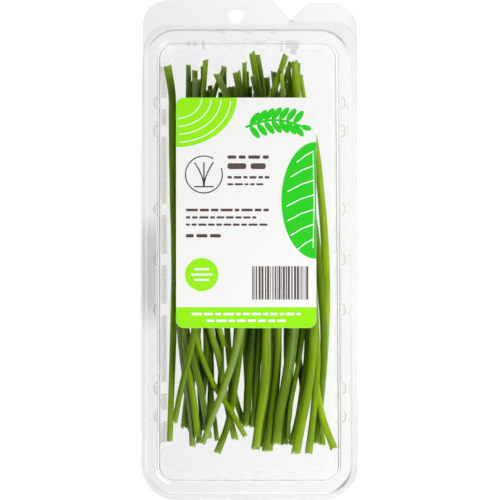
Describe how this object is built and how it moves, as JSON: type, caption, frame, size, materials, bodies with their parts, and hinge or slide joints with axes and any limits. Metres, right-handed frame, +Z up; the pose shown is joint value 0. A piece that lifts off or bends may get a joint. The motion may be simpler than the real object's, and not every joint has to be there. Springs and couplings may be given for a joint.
{
  "type": "clamshell pack of cut chives",
  "caption": "Hinged clear clamshell with a hanging header, holding loose cut chive leaves under a lid with a plain printed paper label.",
  "frame": {"origin": "on the surface the pack lies on, under the middle of its bounding box", "axes": "+X to the pack's right, +Y towards its hanging header, +Z up out of the tray towards the lid"},
  "size_m": [0.097, 0.223, 0.0271],
  "materials": {
    "tray_plastic": "clear thermoformed sheet",
    "lid_plastic": "clear thermoformed sheet",
    "hinge_plastic": "clear folded sheet",
    "label_paper": "coated white paper with plain lime and green print",
    "chive_leaf": "smooth waxy green leaf"
  },
  "bodies": {
    "tray_body": {"tray": "tray_plastic", "hinge_fold_left": "hinge_plastic", "hinge_fold_right": "hinge_plastic", "chive_leaf_01": "chive_leaf", "chive_leaf_02": "chive_leaf", "chive_leaf_03": "chive_leaf", "chive_leaf_04": "chive_leaf", "chive_leaf_05": "chive_leaf", "chive_leaf_06": "chive_leaf", "chive_leaf_07": "chive_leaf", "chive_leaf_08": "chive_leaf", "chive_leaf_09": "chive_leaf", "chive_leaf_10": "chive_leaf", "chive_leaf_11": "chive_leaf", "chive_leaf_12": "chive_leaf", "chive_leaf_13": "chive_leaf", "chive_leaf_14": "chive_leaf", "chive_leaf_15": "chive_leaf", "chive_leaf_16": "chive_leaf", "chive_leaf_17": "chive_leaf", "chive_leaf_18": "chive_leaf", "chive_leaf_19": "chive_leaf", "chive_leaf_20": "chive_leaf", "chive_leaf_21": "chive_leaf", "chive_leaf_22": "chive_leaf", "chive_leaf_23": "chive_leaf", "chive_leaf_24": "chive_leaf", "chive_leaf_25": "chive_leaf", "chive_leaf_26": "chive_leaf", "chive_leaf_27": "chive_leaf", "chive_leaf_28": "chive_leaf", "chive_leaf_29": "chive_leaf", "chive_leaf_30": "chive_leaf", "chive_leaf_31": "chive_leaf", "chive_leaf_32": "chive_leaf", "chive_leaf_33": "chive_leaf", "chive_leaf_34": "chive_leaf", "chive_leaf_35": "chive_leaf", "chive_leaf_36": "chive_leaf", "chive_leaf_37": "chive_leaf", "chive_leaf_38": "chive_leaf", "chive_leaf_39": "chive_leaf"},
    "lid_body": {"lid": "lid_plastic", "label": "label_paper"}
  },
  "joints": [
    {"name": "lid_hinge", "type": "hinge", "parent": "tray_body", "child": "lid_body", "pos_m": [0, -0.1109, 0.02215], "axis": [1, 0, 0], "range_deg": [0, 180]}
  ]
}
